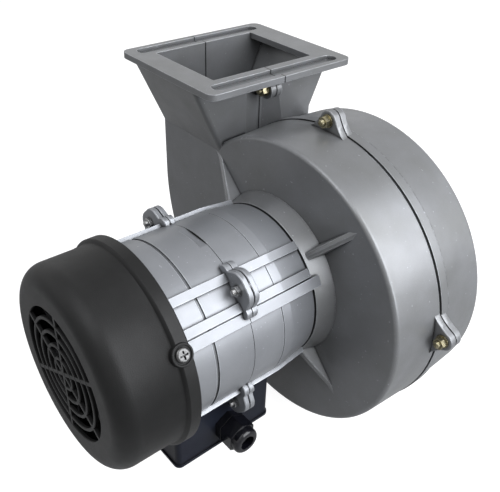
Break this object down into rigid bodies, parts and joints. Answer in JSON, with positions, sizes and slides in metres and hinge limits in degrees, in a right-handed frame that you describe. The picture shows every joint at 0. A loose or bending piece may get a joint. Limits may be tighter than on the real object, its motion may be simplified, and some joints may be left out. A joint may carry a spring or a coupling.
{
  "type": "centrifugal blower",
  "caption": "Centrifugal blower: split cast scroll casing with a flanged outlet, finned motor with fan cover and terminal box, and a guarded inlet to a forward-curved impeller.",
  "frame": {"origin": "middle of the outlet opening, in the plane of the discharge flange's outer face", "axes": "+Z out of the outlet, at right angles to the flange; +Y along the shaft from the motor to the air inlet; +X from the duct across to the shaft, the way the cable gland points"},
  "size_m": [0.3131, 0.3025, 0.2817],
  "materials": {
    "cast_aluminium": "satin as-cast, blasted",
    "plated_screws": "bright zinc plate",
    "yellow_zinc": "yellow passivated zinc plate",
    "galvanised_sheet": "galvanised sheet and wire",
    "black_fan_cover": "fine-grained black moulding",
    "dark_grey_box": "satin dark grey moulding",
    "black_gland": "satin black nylon",
    "soft_rubber": "matt",
    "ground_steel": "ground bright",
    "laminated_steel": "stacked sheets, dull",
    "enamelled_copper": "varnished winding wire",
    "fan_plastic": "natural black moulding",
    "block_plastic": "brown moulding compound",
    "stud_brass": "turned brass"
  },
  "bodies": {
    "housing": {"volute_front_shell": "cast_aluminium", "volute_rear_shell": "cast_aluminium", "motor_front_shell": "cast_aluminium", "motor_rear_shell": "cast_aluminium", "volute_bolts": "plated_screws", "volute_washers": "plated_screws", "inlet_guard_screws": "plated_screws", "motor_clamp_bolts": "plated_screws", "motor_mount_screws": "plated_screws", "fan_cover_screws": "plated_screws", "fan_cover_washers": "plated_screws", "terminal_box_screws": "plated_screws", "terminal_lid_screws": "plated_screws", "terminal_block_screws": "plated_screws", "volute_nuts": "yellow_zinc", "motor_clamp_nuts": "yellow_zinc", "inlet_guard": "galvanised_sheet", "fan_cover": "black_fan_cover", "terminal_box": "dark_grey_box", "terminal_box_lid": "dark_grey_box", "gland_body": "black_gland", "gland_lock_nut": "black_gland", "gland_dome_nut": "black_gland", "shaft_seal": "soft_rubber", "terminal_box_gasket": "soft_rubber", "gland_seal": "soft_rubber", "front_bearing_outer_ring": "ground_steel", "rear_bearing_outer_ring": "ground_steel", "bearing_wave_washer": "ground_steel", "stator_core": "laminated_steel", "stator_windings": "enamelled_copper", "terminal_block": "block_plastic", "terminal_studs": "stud_brass"},
    "rotor": {"motor_shaft": "ground_steel", "rotor_core": "laminated_steel", "rotor_end_rings": "cast_aluminium", "front_bearing_inner_ring": "ground_steel", "rear_bearing_inner_ring": "ground_steel", "front_bearing_balls": "ground_steel", "rear_bearing_balls": "ground_steel", "cooling_fan": "fan_plastic", "fan_clip": "ground_steel", "impeller_hub": "cast_aluminium", "impeller_backplate": "galvanised_sheet", "impeller_rivets": "plated_screws", "impeller_blades": "galvanised_sheet", "impeller_shroud": "galvanised_sheet", "shaft_key": "ground_steel", "impeller_washer": "plated_screws", "impeller_bolt": "plated_screws"}
  },
  "joints": [
    {"name": "rotor_spin", "type": "hinge", "parent": "housing", "child": "rotor", "pos_m": [0.11125, 0, -0.137], "axis": [0, 1, 0], "continuous": true}
  ]
}
